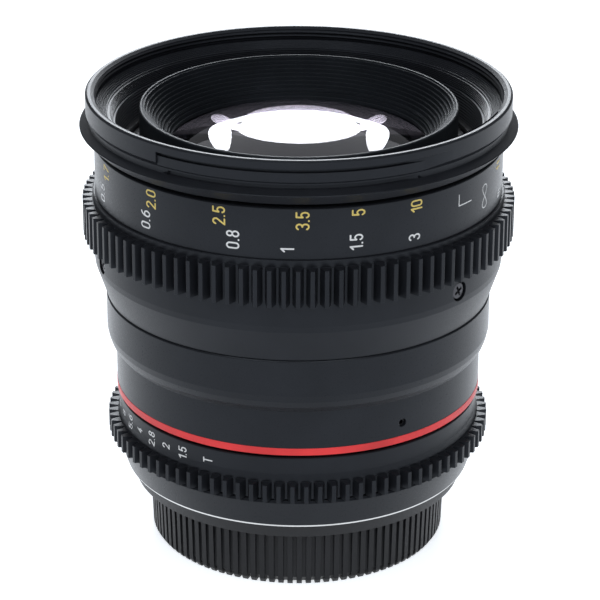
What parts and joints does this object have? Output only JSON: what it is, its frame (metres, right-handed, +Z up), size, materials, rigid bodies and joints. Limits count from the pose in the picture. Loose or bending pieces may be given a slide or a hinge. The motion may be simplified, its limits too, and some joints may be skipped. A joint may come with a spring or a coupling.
{
  "type": "cinema prime lens",
  "caption": "Cylindrical cinema prime lens with geared focus and aperture rings, a bladed iris, a bayonet mount and a ribbed rear cap that it stands on.",
  "frame": {"origin": "centre of the rear cap's underside, on the optical axis", "axes": "+Z up along the optical axis towards the front element; -Y faces the viewer"},
  "size_m": [0.082, 0.082, 0.0894],
  "materials": {
    "black_barrel": "satin black anodised",
    "red_accent": "red anodised",
    "mount_metal": "bright plated",
    "screw_black": "black oxide",
    "screw_steel": "bright",
    "inner_metal": "black anodised",
    "brass": "machined",
    "steel_parts": "machined",
    "blade_steel": "blackened",
    "glass": "coated",
    "cap_plastic": "fine grain"
  },
  "bodies": {
    "barrel": {"front_barrel": "black_barrel", "front_barrel_screws": "screw_steel", "fixed_tube": "inner_metal", "main_barrel": "black_barrel", "red_ring": "red_accent", "set_screws": "screw_black", "mount_base": "black_barrel", "mount_plate": "mount_metal", "mount_screws": "screw_steel", "rear_baffle": "cap_plastic"},
    "focus": {"focus_scale_ring": "black_barrel", "focus_gear_ring": "black_barrel", "cam_ring": "brass", "focus_screws": "screw_black"},
    "block": {"block_barrel": "inner_metal", "cam_followers": "brass", "follower_screws": "screw_steel", "front_ring": "inner_metal", "front_cell": "inner_metal", "lens_element_1": "glass", "doublet_retainer": "inner_metal", "lens_element_2": "glass", "lens_element_3": "glass", "iris_housing": "inner_metal", "iris_cover": "inner_metal", "rear_cell": "inner_metal", "rear_cell_screws": "screw_steel", "block_retainer": "inner_metal", "lens_element_4": "glass", "lens_element_5": "glass", "rear_spacer_1": "inner_metal", "lens_element_6": "glass", "lens_element_7": "glass", "rear_spacer_2": "inner_metal", "lens_element_8": "glass", "rear_spacer_3": "inner_metal", "lens_element_9": "glass", "rear_retainer": "inner_metal"},
    "iris_ring": {"iris_ring": "steel_parts", "iris_lever": "steel_parts"},
    "aperture": {"aperture_ring": "black_barrel", "aperture_fork": "steel_parts", "fork_screws": "screw_steel"},
    "cap": {"rear_cap": "cap_plastic"},
    "iris_blade_1": {"iris_blade_1": "blade_steel"},
    "iris_blade_2": {"iris_blade_2": "blade_steel"},
    "iris_blade_3": {"iris_blade_3": "blade_steel"},
    "iris_blade_4": {"iris_blade_4": "blade_steel"},
    "iris_blade_5": {"iris_blade_5": "blade_steel"},
    "iris_blade_6": {"iris_blade_6": "blade_steel"},
    "iris_blade_7": {"iris_blade_7": "blade_steel"},
    "iris_blade_8": {"iris_blade_8": "blade_steel"}
  },
  "joints": [
    {"name": "focus_turn", "type": "hinge", "parent": "barrel", "child": "focus", "pos_m": [0, 0, 0.066], "axis": [0, 0, 1], "range_deg": [-142, 0]},
    {"name": "block_slide", "type": "slide", "parent": "barrel", "child": "block", "axis": [0, 0, 1], "range_m": [-0.0073, 0]},
    {"name": "aperture_turn", "type": "hinge", "parent": "barrel", "child": "aperture", "pos_m": [0, 0, 0.0256], "axis": [0, 0, 1], "range_deg": [-49.5, 9.7]},
    {"name": "iris_turn", "type": "hinge", "parent": "block", "child": "iris_ring", "pos_m": [0, 0, 0.053], "axis": [0, 0, 1], "range_deg": [-49.5, 9.7]},
    {"name": "blade_1_swing", "type": "hinge", "parent": "block", "child": "iris_blade_1", "pos_m": [0.023, 0, 0.055], "axis": [0, 0, 1], "range_deg": [-29.28, 5.74]},
    {"name": "blade_2_swing", "type": "hinge", "parent": "block", "child": "iris_blade_2", "pos_m": [0.01626, 0.01626, 0.055], "axis": [0, 0, 1], "range_deg": [-29.28, 5.74]},
    {"name": "blade_3_swing", "type": "hinge", "parent": "block", "child": "iris_blade_3", "pos_m": [0, 0.023, 0.055], "axis": [0, 0, 1], "range_deg": [-29.28, 5.74]},
    {"name": "blade_4_swing", "type": "hinge", "parent": "block", "child": "iris_blade_4", "pos_m": [-0.01626, 0.01626, 0.055], "axis": [0, 0, 1], "range_deg": [-29.28, 5.74]},
    {"name": "blade_5_swing", "type": "hinge", "parent": "block", "child": "iris_blade_5", "pos_m": [-0.023, 0, 0.055], "axis": [0, 0, 1], "range_deg": [-29.28, 5.74]},
    {"name": "blade_6_swing", "type": "hinge", "parent": "block", "child": "iris_blade_6", "pos_m": [-0.01626, -0.01626, 0.055], "axis": [0, 0, 1], "range_deg": [-29.28, 5.74]},
    {"name": "blade_7_swing", "type": "hinge", "parent": "block", "child": "iris_blade_7", "pos_m": [0, -0.023, 0.055], "axis": [0, 0, 1], "range_deg": [-29.28, 5.74]},
    {"name": "blade_8_swing", "type": "hinge", "parent": "block", "child": "iris_blade_8", "pos_m": [0.01626, -0.01626, 0.055], "axis": [0, 0, 1], "range_deg": [-29.28, 5.74]},
    {"name": "cap_pull", "type": "slide", "parent": "barrel", "child": "cap", "axis": [0, 0, -1], "range_m": [0, 0.03]}
  ],
  "couplings": [
    {"joint": "block_slide", "follows": "focus_turn", "m_per_rad": 0.0029444},
    {"joint": "iris_turn", "follows": "aperture_turn", "ratio": 1},
    {"joint": "blade_1_swing", "follows": "aperture_turn", "ratio": 0.59122},
    {"joint": "blade_2_swing", "follows": "aperture_turn", "ratio": 0.59122},
    {"joint": "blade_3_swing", "follows": "aperture_turn", "ratio": 0.59122},
    {"joint": "blade_4_swing", "follows": "aperture_turn", "ratio": 0.59122},
    {"joint": "blade_5_swing", "follows": "aperture_turn", "ratio": 0.59122},
    {"joint": "blade_6_swing", "follows": "aperture_turn", "ratio": 0.59122},
    {"joint": "blade_7_swing", "follows": "aperture_turn", "ratio": 0.59122},
    {"joint": "blade_8_swing", "follows": "aperture_turn", "ratio": 0.59122}
  ]
}
